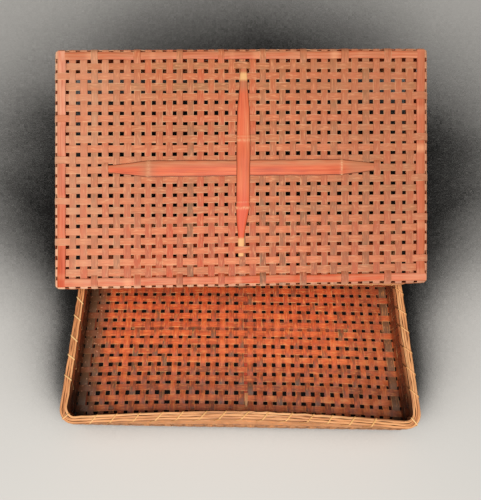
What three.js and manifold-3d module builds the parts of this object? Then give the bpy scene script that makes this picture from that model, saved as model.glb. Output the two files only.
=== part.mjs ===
// A two-part kimono basket of split bamboo: an open tray and the deeper lid that lifts off it.
// The lid leans on the tray's two side rims, as it lies when the basket is opened.
// Millimetres. +X right, +Y to the back, +Z up. The origin is the centre of the tray's underside.

import * as THREE from 'three';
import { mergeVertices } from 'three/addons/utils/BufferGeometryUtils.js';
import Module from 'manifold-3d';

const wasm = await Module();
wasm.setup();

// Weave
const columnPitch = 18;
const rowPitch = 17.4;
const stripWidth = 12;
const stripThickness = 1;
const wallLayerGap = 0.6;
const clearance = 0.3;
const weldTolerance = 0.0001;

// Tray and lid, outside sizes in strips and in height
const trayColumns = 33;
const trayRows = 21;
const trayHeight = 75;
const trayHoops = 3;
const lidColumns = 35;
const lidRows = 23;
const lidHeight = 84;
const lidHoops = 3;

// Corners of the walls, sharper at the fold than at the rim
const foldRadius = 6;
const rimRadius = 24;
const cornerTurnDegrees = 45;
const arcDivisions = 4;

// Rim bundle: cores that carry the strips, a band on each face and split strands on top
const coreThickness = 1.6;
const coreMargin = 0.15;
const coreGrip = 1;
const bandThickness = 4;
const bandHeight = 14;
const strandCount = 3;
const strandHeight = 4;
const strandBevel = 1;

// Cane lashing, one turn for every second strip
const caneWidth = 4;
const caneThickness = 0.8;
const stripsPerTurn = 2;
const outerRiseShare = 0.3;
const topSlantShare = 0.4;

// Slats on the outside of each face: a frame near the folds and a cross in the middle
const crossThickness = 1.5;
const slatChamfer = 2;
const slatEdgeShare = 0.5;
const slatNodeRise = 0.5;
const slatNodeLength = 4;
const crossRampLength = 45;
const frameWidthAlongX = 10;
const frameWidthAlongY = 14.5;

// Each cross slat: where it lies from the middle, to the right and to the back, and its own sizes.
// Its shoulders are where it starts to narrow, and its nodes are the joints of the bamboo.
const lidSlatX = {
  length: 448,
  width: 25,
  tipWidth: 14,
  along: 1.5,
  across: 0,
  shoulderShares: [0.14, 0.9],
  nodeShares: [0.155, 0.88],
};
const lidSlatY = {
  length: 309,
  width: 23,
  tipWidth: 13,
  along: 4.5,
  across: 5,
  shoulderShares: [0.25, 0.845],
  nodeShares: [0.27, 0.65],
};
const traySlatX = {
  length: 420,
  width: 24,
  tipWidth: 14,
  along: 0,
  across: -4,
  shoulderShares: [0.15, 0.85],
  nodeShares: [0.165, 0.83],
};
const traySlatY = {
  length: 290,
  width: 22,
  tipWidth: 12,
  along: -6,
  across: 5,
  shoulderShares: [0.2, 0.8],
  nodeShares: [0.22, 0.76],
};

// How the lid leans: its tilt, and where its front edge crosses the tray's side rims
const lidTiltDegrees = 24.4;
const lidContactDepth = 52;

// Derived layers, measured outward from the floor of each half
const frameThickness = 2 * crossThickness + clearance;
const warpLevel = frameThickness + clearance;
const weftLevel = warpLevel + stripThickness + clearance;

// Derived layers, measured inward from the outer face of each wall
const outerLayer = 0;
const innerLayer = stripThickness + wallLayerGap;
const outerCoreEnd = stripThickness + coreMargin;
const outerCoreStart = outerCoreEnd - coreThickness;
const innerCoreStart = outerCoreEnd + clearance;
const innerCoreEnd = innerCoreStart + coreThickness;
const outerBandEnd = outerCoreStart - clearance;
const outerBandStart = outerBandEnd - bandThickness;
const innerBandStart = innerCoreEnd + clearance;
const innerBandEnd = innerBandStart + bandThickness;
const caneStart = outerBandStart - clearance;
const caneEnd = innerBandEnd + clearance;

const lidWeave = new THREE.MeshStandardMaterial({ color: 0xa8705a, roughness: 0.75, metalness: 0 });
const trayWeave = new THREE.MeshStandardMaterial({ color: 0xb5643c, roughness: 0.7, metalness: 0 });
const slatSkin = new THREE.MeshStandardMaterial({ color: 0xb4512e, roughness: 0.45, metalness: 0 });
const rimBamboo = new THREE.MeshStandardMaterial({ color: 0xb08a5c, roughness: 0.55, metalness: 0 });
const caneSkin = new THREE.MeshStandardMaterial({ color: 0xd9bd86, roughness: 0.5, metalness: 0 });

// A closed body through equal cross-sections: an outer row of points, then the inner row back.
// It ends in flat caps, or it runs round into its first section.
function loft(sections, runsRound = false) {
  const ring = sections[0].length;
  const points = sections.flat();
  const faces = [];
  const spans = runsRound ? sections.length : sections.length - 1;
  for (let station = 0; station < spans; station += 1) {
    const here = station * ring;
    const there = ((station + 1) % sections.length) * ring;
    for (let corner = 0; corner < ring; corner += 1) {
      const next = (corner + 1) % ring;
      faces.push(here + corner, here + next, there + next);
      faces.push(here + corner, there + next, there + corner);
    }
  }
  const last = (sections.length - 1) * ring;
  for (let corner = 0; corner < ring / 2 - 1 && !runsRound; corner += 1) {
    const a = corner;
    const b = corner + 1;
    const c = ring - 2 - corner;
    const d = ring - 1 - corner;
    faces.push(a, c, b, a, d, c);
    faces.push(last + a, last + b, last + c, last + a, last + c, last + d);
  }
  const geometry = new THREE.BufferGeometry();
  geometry.setAttribute('position', new THREE.Float32BufferAttribute(points.flatMap((p) => p.toArray()), 3));
  geometry.setIndex(faces);
  return facingOut(geometry);
}

// Turns every face over when the body came out inside out
function facingOut(geometry) {
  const index = geometry.getIndex();
  const position = geometry.getAttribute('position');
  const [a, b, c] = [new THREE.Vector3(), new THREE.Vector3(), new THREE.Vector3()];
  let volume = 0;
  for (let i = 0; i < index.count; i += 3) {
    a.fromBufferAttribute(position, index.getX(i));
    b.fromBufferAttribute(position, index.getX(i + 1));
    c.fromBufferAttribute(position, index.getX(i + 2));
    volume += a.dot(b.cross(c));
  }
  if (volume < 0) {
    index.array.reverse();
  }
  geometry.computeVertexNormals();
  return geometry;
}

function toSolid(geometry) {
  const bare = geometry.clone();
  bare.deleteAttribute('normal');
  bare.deleteAttribute('uv');
  const welded = mergeVertices(bare, weldTolerance);
  const mesh = new wasm.Mesh({
    numProp: 3,
    vertProperties: new Float32Array(welded.getAttribute('position').array),
    triVerts: new Uint32Array(welded.getIndex().array),
  });
  return new wasm.Manifold(mesh);
}

function joined(geometries) {
  const solid = geometries.map(toSolid).reduce((sum, next) => sum.add(next));
  const mesh = solid.getMesh();
  const geometry = new THREE.BufferGeometry();
  geometry.setAttribute('position', new THREE.BufferAttribute(mesh.vertProperties, mesh.numProp));
  geometry.setIndex(new THREE.BufferAttribute(mesh.triVerts, 1));
  geometry.computeVertexNormals();
  return geometry;
}

// A place on a wall: how far along it and how far out, on a wall whose corner has this radius
function wallPlace(halfAlong, halfAcross, along, radius, inward) {
  const toCorner = halfAlong - Math.abs(along);
  if (toCorner >= radius) {
    return { along, across: halfAcross - inward };
  }
  const turn = THREE.MathUtils.degToRad(cornerTurnDegrees) * (1 - toCorner / radius);
  const reach = halfAlong - radius + (radius - inward) * Math.sin(turn);
  return {
    along: Math.sign(along) * reach,
    across: halfAcross - radius + (radius - inward) * Math.cos(turn),
  };
}

// One strip: up one wall, across the floor and up the other wall, as sections along it
function strip(halfAlong, halfAcross, centre, floorLevel, layer, topLevel) {
  const nearCorner = halfAlong - Math.abs(centre) - stripWidth / 2 < rimRadius;
  const steps = nearCorner ? 2 : 1;
  const stops = Array.from({ length: steps + 1 }, (_, i) => centre + stripWidth * (i / steps - 1 / 2));
  const row = (radius, inward, side, level) => stops.map((stop) => {
    const place = wallPlace(halfAlong, halfAcross, stop, radius, inward);
    return new THREE.Vector3(place.along, side * place.across, level);
  });
  const section = (radius, side, outerLevel, innerLevel) => [
    ...row(radius, layer, side, outerLevel),
    ...row(radius, layer + stripThickness, side, innerLevel).reverse(),
  ];
  return loft([
    section(rimRadius, -1, topLevel, topLevel),
    section(foldRadius, -1, floorLevel, floorLevel + stripThickness),
    section(foldRadius, 1, floorLevel, floorLevel + stripThickness),
    section(rimRadius, 1, topLevel, topLevel),
  ]);
}

function roundedOutline(halfX, halfY, radius, path) {
  const quarter = Math.PI / 2;
  path.moveTo(halfX, radius - halfY);
  path.absarc(halfX - radius, halfY - radius, radius, 0, quarter, false);
  path.absarc(radius - halfX, halfY - radius, radius, quarter, 2 * quarter, false);
  path.absarc(radius - halfX, radius - halfY, radius, 2 * quarter, 3 * quarter, false);
  path.absarc(halfX - radius, radius - halfY, radius, 3 * quarter, 4 * quarter, false);
  path.closePath();
  return path;
}

// A ring that follows the wall at the rim, between two depths from the wall's outer face
function rimRing(size, start, end, bottom, height, bevel) {
  const shape = roundedOutline(size.halfX - start, size.halfY - start, rimRadius - start, new THREE.Shape());
  shape.holes.push(roundedOutline(size.halfX - end, size.halfY - end, rimRadius - end, new THREE.Path()));
  const geometry = new THREE.ExtrudeGeometry(shape, {
    depth: height - 2 * bevel,
    bevelEnabled: bevel > 0,
    bevelSize: bevel,
    bevelOffset: -bevel,
    bevelThickness: bevel,
    bevelSegments: 1,
    curveSegments: arcDivisions,
  });
  return geometry.translate(0, 0, bottom + bevel);
}

// A bar along one side of the rim, between two depths from the wall's outer face, bent at both ends
// as far as the middle of the corners
function sideBar(side, start, end, bottom, height) {
  const depths = [2 * clearance, rimRadius / 2, rimRadius];
  const nearEnd = depths.map((depth) => depth - side.halfAlong);
  const farEnd = depths.map((depth) => side.halfAlong - depth).reverse();
  const bar = loft([...nearEnd, ...farEnd].map((stop) => {
    const outer = wallPlace(side.halfAlong, side.halfAcross, stop, rimRadius, start);
    const inner = wallPlace(side.halfAlong, side.halfAcross, stop, rimRadius, end);
    return [
      new THREE.Vector3(outer.along, -outer.across, bottom),
      new THREE.Vector3(outer.along, -outer.across, bottom + height),
      new THREE.Vector3(inner.along, -inner.across, bottom + height),
      new THREE.Vector3(inner.along, -inner.across, bottom),
    ];
  }));
  return bar.rotateZ(side.quarterTurns * Math.PI / 2);
}

// Depths from a corner at which a wall's outermost strips have their edges and middles
function cornerStops(pitch) {
  const edge = (pitch - stripWidth) / 2;
  return [edge + pitch, edge + stripWidth, edge + stripWidth / 2, edge];
}

// A hoop runs inside the strips of the front and back walls and outside those of the side walls
function hoop(size, number) {
  const spacing = (size.bandBottom - size.floorTop) / size.hoops;
  const centre = size.floorTop + (number - 1 / 2) * spacing;
  const levels = [centre - stripWidth / 2, centre + stripWidth / 2];
  const onWall = (halfAlong, halfAcross, depth, level, inward) => {
    const rise = (level - warpLevel) / (size.stripTop - warpLevel);
    const atFold = wallPlace(halfAlong, halfAcross, halfAlong - depth, foldRadius, inward);
    const atRim = wallPlace(halfAlong, halfAcross, halfAlong - depth, rimRadius, inward);
    const along = THREE.MathUtils.lerp(atFold.along, atRim.along, rise);
    const across = THREE.MathUtils.lerp(atFold.across, atRim.across, rise);
    return { along, across };
  };
  const onSide = (depth, level, inward) => {
    const place = onWall(size.halfY, size.halfX, depth, level, outerLayer + inward);
    return new THREE.Vector3(place.across, place.along, level);
  };
  const onBack = (depth, level, inward) => {
    const place = onWall(size.halfX, size.halfY, depth, level, innerLayer + inward);
    return new THREE.Vector3(place.along, place.across, level);
  };
  const section = (place, depth) => [
    place(depth, levels[0], 0),
    place(depth, levels[1], 0),
    place(depth, levels[1], stripThickness),
    place(depth, levels[0], stripThickness),
  ];
  const corner = [
    ...cornerStops(rowPitch).map((depth) => section(onSide, depth)),
    ...cornerStops(columnPitch).reverse().map((depth) => section(onBack, depth)),
  ];
  const mirrored = (x, y) => {
    const scale = new THREE.Vector3(x, y, 1);
    const copy = corner.map((points) => points.map((point) => point.clone().multiply(scale)));
    return x * y > 0 ? copy : copy.reverse();
  };
  return loft([...mirrored(1, 1), ...mirrored(-1, 1), ...mirrored(-1, -1), ...mirrored(1, -1)], true);
}

// A slat from its shape at each station: a share of its length, a width, a lift and an extra height
function slat(length, thickness, stations) {
  return loft(stations.map(({ share, width, lift, rise }) => {
    const along = length * (share - 1 / 2);
    const inner = warpLevel - clearance - lift;
    const edge = inner - thickness * slatEdgeShare;
    const outer = inner - thickness - rise;
    const half = width / 2;
    return [
      new THREE.Vector3(along, -half, inner),
      new THREE.Vector3(along, half, inner),
      new THREE.Vector3(along, half, edge),
      new THREE.Vector3(along, half - slatChamfer, outer),
      new THREE.Vector3(along, slatChamfer - half, outer),
      new THREE.Vector3(along, -half, edge),
    ];
  }));
}

// A cross slat narrows from its shoulders to its tips, swells at its nodes, and may climb over the other
function crossSlat(form, otherForm, climb) {
  const [firstShoulder, secondShoulder] = form.shoulderShares;
  const node = slatNodeLength / form.length;
  const crossing = 1 / 2 + (otherForm.across - form.along) / form.length;
  const landing = (otherForm.width / 2 + clearance) / form.length;
  const ramp = landing + crossRampLength / form.length;
  const widthAt = (share) => {
    const fromTip = Math.min(share / firstShoulder, (1 - share) / (1 - secondShoulder), 1);
    return form.tipWidth + (form.width - form.tipWidth) * fromTip;
  };
  const liftAt = (share) => {
    const climbed = (ramp - Math.abs(share - crossing)) / (ramp - landing);
    return climb * THREE.MathUtils.clamp(climbed, 0, 1);
  };
  const riseAt = (share) => {
    const nearest = Math.min(...form.nodeShares.map((place) => Math.abs(share - place)));
    return slatNodeRise * Math.max(0, 1 - nearest / node);
  };
  const climbShares = [crossing - ramp, crossing - landing, crossing + landing, crossing + ramp];
  const shares = [
    0,
    firstShoulder,
    ...form.nodeShares.flatMap((place) => [place - node, place, place + node]),
    ...(climb > 0 ? climbShares : []),
    secondShoulder,
    1,
  ];
  shares.sort((a, b) => a - b);
  const stations = shares.map((share) => ({
    share,
    width: widthAt(share),
    lift: liftAt(share),
    rise: riseAt(share),
  }));
  return slat(form.length, crossThickness, stations);
}

function frameSlat(length, width) {
  const ends = [0, 1].map((share) => ({ share, width, lift: 0, rise: 0 }));
  return slat(length, frameThickness, ends);
}

// Points of one winding along a straight side, at the four corners of the rim bundle, turn by turn
function windingStops(size, halfAlong, pitch) {
  const turnLength = stripsPerTurn * pitch;
  const firstHole = Math.ceil((rimRadius - halfAlong - pitch / 2) / pitch) * pitch + pitch / 2;
  const turns = Math.floor((halfAlong - rimRadius - firstHole) / turnLength);
  const low = size.bandBottom - clearance;
  const high = size.height + clearance;
  const stops = [{ along: firstHole, depth: caneEnd, level: low, out: 1, up: -1 }];
  for (let turn = 0; turn < turns; turn += 1) {
    const start = firstHole + turn * turnLength;
    const top = start + outerRiseShare * turnLength;
    const topEnd = top + topSlantShare * turnLength;
    stops.push({ along: start, depth: caneStart, level: low, out: -1, up: -1 });
    stops.push({ along: top, depth: caneStart, level: high, out: -1, up: 1 });
    stops.push({ along: topEnd, depth: caneEnd, level: high, out: 1, up: 1 });
    stops.push({ along: start + turnLength, depth: caneEnd, level: low, out: 1, up: -1 });
  }
  return stops;
}

function winding(stops, halfAcross) {
  return loft(stops.map(({ along, depth, level, out, up }) => {
    const across = depth - halfAcross;
    const outerAcross = across + out * caneThickness;
    const outerLevel = level + up * caneThickness;
    const left = along - caneWidth / 2;
    const right = along + caneWidth / 2;
    return [
      new THREE.Vector3(left, outerAcross, outerLevel),
      new THREE.Vector3(right, outerAcross, outerLevel),
      new THREE.Vector3(right, across, level),
      new THREE.Vector3(left, across, level),
    ];
  }));
}

// Least gap between one turn of a winding and the next, from the places where the turns cross the rim
function leastTurnGap(stops) {
  const gaps = [];
  for (let i = 4; i < stops.length; i += 1) {
    gaps.push(Math.abs(stops[i].along - stops[i - 4].along) - caneWidth);
  }
  return Math.min(...gaps);
}

// The sizes of one half, and which way its own +Y points when it lies in place
function basketSize(name, columns, rows, height, hoops, facing) {
  const bandBottom = height - strandHeight - clearance - bandHeight;
  const halfX = columns * columnPitch / 2;
  const halfY = rows * rowPitch / 2;
  const [near, far] = facing > 0 ? ['front', 'back'] : ['back', 'front'];
  return {
    name,
    columns,
    rows,
    height,
    hoops,
    facing,
    halfX,
    halfY,
    floorTop: weftLevel + stripThickness,
    bandBottom,
    stripTop: bandBottom + coreGrip,
    sides: [
      { name: near, halfAlong: halfX, halfAcross: halfY, pitch: columnPitch, quarterTurns: 0 },
      { name: 'right', halfAlong: halfY, halfAcross: halfX, pitch: rowPitch, quarterTurns: 1 },
      { name: far, halfAlong: halfX, halfAcross: halfY, pitch: columnPitch, quarterTurns: 2 },
      { name: 'left', halfAlong: halfY, halfAcross: halfX, pitch: rowPitch, quarterTurns: 3 },
    ],
  };
}

function addPiece(group, name, geometry, material) {
  const mesh = new THREE.Mesh(geometry, material);
  mesh.name = name;
  group.add(mesh);
}

// Floor and walls: strips both ways, each family held at its ends by two cores, and the hoops of the wall
function addWeave(group, size, material) {
  const warps = Array.from({ length: size.columns }, (_, i) => {
    const centre = (i + 1 / 2) * columnPitch - size.halfX;
    return strip(size.halfX, size.halfY, centre, warpLevel, outerLayer, size.stripTop);
  });
  const wefts = Array.from({ length: size.rows }, (_, i) => {
    const centre = (i + 1 / 2) * rowPitch - size.halfY;
    const along = strip(size.halfY, size.halfX, centre, weftLevel, innerLayer, size.stripTop);
    return along.rotateZ(Math.PI / 2);
  });
  const [near, right, far, left] = size.sides;
  const core = (side, start, end) => sideBar(side, start, end, size.bandBottom, bandHeight);
  const warpCores = [near, far].map((side) => core(side, outerCoreStart, outerCoreEnd));
  const weftCores = [right, left].map((side) => core(side, innerCoreStart, innerCoreEnd));
  addPiece(group, `${size.name}_warps`, joined([...warpCores, ...warps]), material);
  addPiece(group, `${size.name}_wefts`, joined([...weftCores, ...wefts]), material);
  for (let number = 1; number <= size.hoops; number += 1) {
    addPiece(group, `${size.name}_hoop_${number}`, hoop(size, number), material);
  }
}

function addRim(group, size) {
  const outerBand = rimRing(size, outerBandStart, outerBandEnd, size.bandBottom, bandHeight, 0);
  addPiece(group, `${size.name}_rim_outer_band`, outerBand, rimBamboo);
  for (const side of size.sides) {
    const innerBand = sideBar(side, innerBandStart, innerBandEnd, size.bandBottom, bandHeight);
    addPiece(group, `${size.name}_rim_inner_band_${side.name}`, innerBand, rimBamboo);
  }
  const strandPitch = (innerBandEnd - outerBandStart + clearance) / strandCount;
  for (let number = 1; number <= strandCount; number += 1) {
    const start = outerBandStart + (number - 1) * strandPitch;
    const end = start + strandPitch - clearance;
    const strand = rimRing(size, start, end, size.height - strandHeight, strandHeight, strandBevel);
    addPiece(group, `${size.name}_rim_strand_${number}`, strand, rimBamboo);
  }
}

function addLashing(group, size) {
  for (const side of size.sides) {
    const stops = windingStops(size, side.halfAlong, side.pitch);
    const geometry = winding(stops, side.halfAcross).rotateZ(side.quarterTurns * Math.PI / 2);
    addPiece(group, `${size.name}_lashing_${side.name}`, geometry, caneSkin);
    console.log(`${size.name} ${side.name} lashing, least gap between turns:`, leastTurnGap(stops), 'mm');
  }
}

function addSlats(group, size, formX, formY) {
  const quarterTurn = size.facing * Math.PI / 2;
  const nearX = size.halfX - columnPitch / 2;
  const nearY = size.halfY - rowPitch / 2;
  const lengthX = 2 * nearX - frameWidthAlongY - 2 * clearance;
  const lengthY = 2 * nearY + frameWidthAlongX;
  const frontSlat = frameSlat(lengthX, frameWidthAlongX).translate(0, -size.facing * nearY, 0);
  const backSlat = frameSlat(lengthX, frameWidthAlongX).translate(0, size.facing * nearY, 0);
  const leftSlat = frameSlat(lengthY, frameWidthAlongY).rotateZ(quarterTurn).translate(-nearX, 0, 0);
  const rightSlat = frameSlat(lengthY, frameWidthAlongY).rotateZ(quarterTurn).translate(nearX, 0, 0);
  addPiece(group, `${size.name}_frame_slat_front`, frontSlat, slatSkin);
  addPiece(group, `${size.name}_frame_slat_back`, backSlat, slatSkin);
  addPiece(group, `${size.name}_frame_slat_left`, leftSlat, slatSkin);
  addPiece(group, `${size.name}_frame_slat_right`, rightSlat, slatSkin);
  const crossX = crossSlat(formX, formY, 0).translate(formX.along, size.facing * formX.across, 0);
  const crossY = crossSlat(formY, formX, crossThickness + clearance).translate(formY.along, 0, 0);
  crossY.rotateZ(quarterTurn).translate(formY.across, 0, 0);
  addPiece(group, `${size.name}_cross_slat_x`, crossX, slatSkin);
  addPiece(group, `${size.name}_cross_slat_y`, crossY, slatSkin);
}

function basketHalf(size, weave, formX, formY) {
  const group = new THREE.Group();
  addWeave(group, size, weave);
  addRim(group, size);
  addLashing(group, size);
  addSlats(group, size, formX, formY);
  return group;
}

const traySize = basketSize('tray', trayColumns, trayRows, trayHeight, trayHoops, 1);
const lidSize = basketSize('lid', lidColumns, lidRows, lidHeight, lidHoops, -1);
const tray = basketHalf(traySize, trayWeave, traySlatX, traySlatY);
const lid = basketHalf(lidSize, lidWeave, lidSlatX, lidSlatY);

// The lid is turned over and tilted, so that the outer corner of its front rim lies on the tray's rims
const lidTilt = THREE.MathUtils.degToRad(lidTiltDegrees);
const lidCorner = lidSize.halfY - outerBandStart;
const restLevel = traySize.height + clearance + caneThickness + clearance;
lid.rotation.x = Math.PI + lidTilt;
lid.position.y = lidContactDepth + lidCorner * Math.cos(lidTilt) - lidSize.height * Math.sin(lidTilt);
lid.position.z = restLevel + lidCorner * Math.sin(lidTilt) + lidSize.height * Math.cos(lidTilt);

const basket = new THREE.Group();
basket.add(tray, lid);

export default basket;
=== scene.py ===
"""A two-part kimono basket of split bamboo: the weave, rims, lashing, slats and materials."""
import math
from dataclasses import dataclass, field

import bmesh
import bpy
import numpy as np
from mathutils import Matrix, Vector


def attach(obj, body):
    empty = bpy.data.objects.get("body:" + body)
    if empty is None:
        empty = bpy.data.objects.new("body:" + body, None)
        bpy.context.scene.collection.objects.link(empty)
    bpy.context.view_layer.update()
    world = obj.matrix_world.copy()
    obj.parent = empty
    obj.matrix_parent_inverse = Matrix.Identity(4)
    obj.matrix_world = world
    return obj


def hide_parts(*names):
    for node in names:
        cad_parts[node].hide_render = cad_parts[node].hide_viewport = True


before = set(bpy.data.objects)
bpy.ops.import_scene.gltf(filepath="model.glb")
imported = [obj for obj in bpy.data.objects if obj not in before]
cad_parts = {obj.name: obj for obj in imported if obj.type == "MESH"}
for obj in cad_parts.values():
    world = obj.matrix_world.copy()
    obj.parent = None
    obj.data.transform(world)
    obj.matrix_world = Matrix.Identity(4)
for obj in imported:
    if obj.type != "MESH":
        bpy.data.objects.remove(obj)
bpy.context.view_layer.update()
MM = 0.001

# The weave, in metres, as in the frame
COLUMN_PITCH = 18 * MM
ROW_PITCH = 17.4 * MM
HOOPS = 3
STRIP_THICKNESS = 1.0 * MM
STRIP_CROWN = 0.12 * MM
STRIP_HELD = 4 * MM
AMPLITUDE = 0.6 * MM
SAMPLES_PER_PITCH = 8
FOLD_BEND = 3 * MM
FOLD_RADIUS = 6 * MM
RIM_RADIUS = 24 * MM
CORNER_TURN = math.radians(45)

# How uneven the strips lie, from one to the next and along each (the rate is in radians a metre), and how far
# the texture of one is set off from the next
JITTER = 0.8 * MM
WANDER = 0.4 * MM
WANDER_RATE = 19
UV_ASIDE = 0.37

# Depths in each half, from its outer plane inward
WEAVE_LEVEL = 4.75 * MM
SLAT_LEVEL = 3.3 * MM
WALL_INSET = 1.3 * MM
FOLD_INSET = -0.8 * MM

# The cross slats: their nodes, and how the one climbs over the other
CROSS_THICKNESS = 1.5 * MM
NODE_RISE = 0.45 * MM
NODE_SWELL = 1.2 * MM
CLIMB_CLEAR = 13 * MM
CLIMB_LENGTH = 45 * MM

# The slats along the folds, how they are bound (over three strips and under the fourth), and how far the pale
# crease of the fold reaches
FRAME_OUTER = 1.0 * MM
FRAME_INNER = 3.2 * MM
FRAME_DIP = 1.1 * MM
DIP_FLAT = 6 * MM
DIP_SLOPE = 13 * MM
BOUND_LEVEL = 1.4 * MM
BOUND_NARROW = 5 * MM
BOUND_WIDE = 6.5 * MM
BINDING_STEP = 4
FRAME_INSET = 1.5 * MM
EDGE_SPREAD = 3 * MM
FOLD_LIFT = 0.5 * MM
CREASE_REACH = 3.2 * MM

# The rim bundle: depths from the wall's outer face, heights, and how square and how wavy its pieces are
BUNDLE_OUTER = -4.75 * MM
BUNDLE_INNER = 7.35 * MM
BAND_HEIGHT = 14 * MM
BAND_THICKNESS = 4 * MM
BAND_ROUNDING = 4
BAND_WANDER = 0.3 * MM
STRAND_HEIGHT = 4 * MM
STRAND_ROUNDING = 3.4
STRAND_WANDER = 0.4 * MM
RIM_GAP = 0.3 * MM
RIM_STEP = 9 * MM

# The cane round it: the turn's bend, how far a turn strays, and how much of a turn its slant may take
CANE_WIDTH = 2.3 * MM
CANE_THICKNESS = 0.75 * MM
CANE_CROWN = 0.15 * MM
CANE_BELOW = 0.4 * MM
CANE_BEND = 1.8 * MM
CANE_WOBBLE = 2.2 * MM
CANE_SLANT = (0.26, 0.4)

# The tip of the tray's middle slat, where it comes up through the floor
TIP_START = (10 * MM, -155 * MM)
TIP_LENGTH = 24 * MM
TIP_THICKNESS = 1.1 * MM
TIP_CLEAR = 0.9 * MM
TIP_RISE = 1.4 * MM

# The lid's tilt, and where its front rim crosses the tray's side rims
LID_TILT = math.radians(24.4)
LID_CONTACT_DEPTH = 52 * MM
LID_REST_GAP = 1.4 * MM

# How far age has pulled the basket out of true
LID_SKEW = 6 * MM
LID_FAR_STRETCH = (-4.4 * MM, -1.5 * MM)
TRAY_FRONT_SAG = (1.5 * MM, -2.5 * MM, -7 * MM)
TRAY_FLOOR_SHIFT = (-4.1 * MM, -2.6 * MM)
WALL_BULGE = (0.5 * MM, 10.5 * MM)
RIM_FLARE = (-1.2 * MM, 3.8 * MM)
RIM_LEAN = (-7.2 * MM, -1.8 * MM)

# How far columns lie off an even spacing, at shares of the half's length from its middle
LID_DRIFT = ((-1, -0.81, -0.54, -0.27, 0, 0.27, 0.54, 0.81, 1),
             np.array((-2.2, 2.6, 4.6, 4.6, 3.1, 0, -1.9, -1.2, 4.3)) * MM)
TRAY_DRIFT = ((-1, -0.8, -0.6, -0.35, -0.1, 0.1, 0.35, 0.6, 0.85, 1),
              np.array((-3, -2.9, -1.3, 1, 1.1, 0.4, -0.9, -2.2, -4.5, -5)) * MM)

# The floor, and its painted shade: how near the basket must be to give it, and the direction (y, z) that it is
# looked for in, which turns toward the basket in the corners behind it
FLOOR_REACH = 6
FLOOR_DROP = 0.5 * MM
SHADE_REACH = 1000 * MM
SHADE_LEAN = (-0.85, 0.53)
SHADE_TURN = 3.5

# The photograph's view, and the lamps: name, place and power
CAMERA_PLACE = Vector((0, -0.275, 0.956))
CAMERA_PITCH = math.radians(65.6)
CAMERA_LENS = 36
CAMERA_SENSOR = 36
LAMPS = (("key", (-0.2, -2.4, 2.0), 52), ("top", (-0.1, -0.9, 2.8), 46))
LAMP_SIZE = 1.0
LAMP_COLOUR = (1, 0.98, 0.95)
LAMP_AIM = Vector((0, 0.05, 0.1))
WORLD_COLOUR = (1, 0.98, 0.96, 1)
WORLD_STRENGTH = 0.13


@dataclass
class Slat:
    """A wide cross slat: its place from the middle, and what it is like at shares of its length.

    widths and sways are in mm, nodes are (share, mm, strength), bare and dull are stretches."""

    length: float
    along: float
    across: float
    worn: float
    widths: tuple
    nodes: tuple
    sways: tuple = ((0, 0), (1, 0))
    bare: tuple = ()
    dull: tuple = ()


LID_SLAT_X = Slat(
    0.472, -0.0005, 0.0011, worn=1.0,
    widths=((0, 12), (0.03, 13.5), (0.16, 28.5), (0.5, 27.3), (0.87, 27.6), (0.98, 13.5), (1, 12.5)),
    nodes=((0.157, 3.8, 0.55), (0.872, 1.7, 1.0)),
    dull=((0.135, 0.175), (0.89, 1.2)))
LID_SLAT_Y = Slat(
    0.325, 0.0125, 0.003, worn=0.25,
    widths=((0, 9), (0.1, 11), (0.165, 16), (0.24, 23.6), (0.262, 26), (0.28, 24), (0.45, 24),
            (0.618, 24.8), (0.77, 22.3), (0.82, 19), (0.89, 14.3), (0.945, 12), (1, 11)),
    nodes=((0.255, 2.3, 1.1), (0.285, 1.0, 0.5), (0.612, 2.4, 0.8), (0.63, 0.9, 0.7)),
    sways=((0, -5.2), (0.1, -4.8), (0.17, -4.2), (0.24, -2.2), (0.267, -1.6), (0.6, -0.8), (1, -0.6)),
    bare=((-0.2, 0.095), (0.92, 0.958)), dull=((0.87, 1.2),))
TRAY_SLAT_X = Slat(
    0.42, 0.0, -0.004, worn=0.6, widths=((0, 13), (0.15, 24), (0.5, 23), (0.85, 24), (1, 13)),
    nodes=((0.165, 2.4, 1), (0.83, 2.4, 1)), bare=((-0.2, 0.02), (0.98, 1.2)))
TRAY_SLAT_Y = Slat(
    0.29, -0.006, 0.005, worn=0.3, widths=((0, 11), (0.2, 22), (0.5, 21), (0.8, 22), (1, 12)),
    nodes=((0.22, 2.4, 1), (0.76, 2.4, 1)), bare=((-0.2, 0.05), (0.96, 1.2)))


@dataclass
class Half:
    """One half of the basket: its strips, its height and where it lies."""

    name: str
    columns: int
    rows: int
    height: float
    strip_width: float
    hoop_width: float
    plaid: float
    end_tone: float
    end_width: float
    facing: int
    seed: int
    bends: object
    place: Matrix = field(default_factory=lambda: Matrix.Identity(4))

    @property
    def banded(self):
        """Whether the hoop under the rim runs outside all stakes."""
        return self.facing > 0

    @property
    def half_x(self):
        return self.columns * COLUMN_PITCH / 2

    @property
    def half_y(self):
        return self.rows * ROW_PITCH / 2

    @property
    def band_bottom(self):
        return self.height - STRAND_HEIGHT - RIM_GAP - BAND_HEIGHT

    @property
    def hoop_levels(self):
        floor = WEAVE_LEVEL + STRIP_THICKNESS
        spacing = (self.band_bottom - floor) / HOOPS
        return [floor + (k + 0.5) * spacing for k in range(HOOPS)]

    def sides(self, along_x):
        """Half the length of the sides that run one way, and of the others."""
        return (self.half_x, self.half_y) if along_x else (self.half_y, self.half_x)


def stacked(*parts):
    """Coordinates of one shape each, or that broadcast to one, as points."""
    return np.stack(np.broadcast_arrays(*parts), -1)


def smooth(low, high, values):
    t = np.clip((values - low) / (high - low), 0, 1)
    return t * t * (3 - 2 * t)


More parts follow.
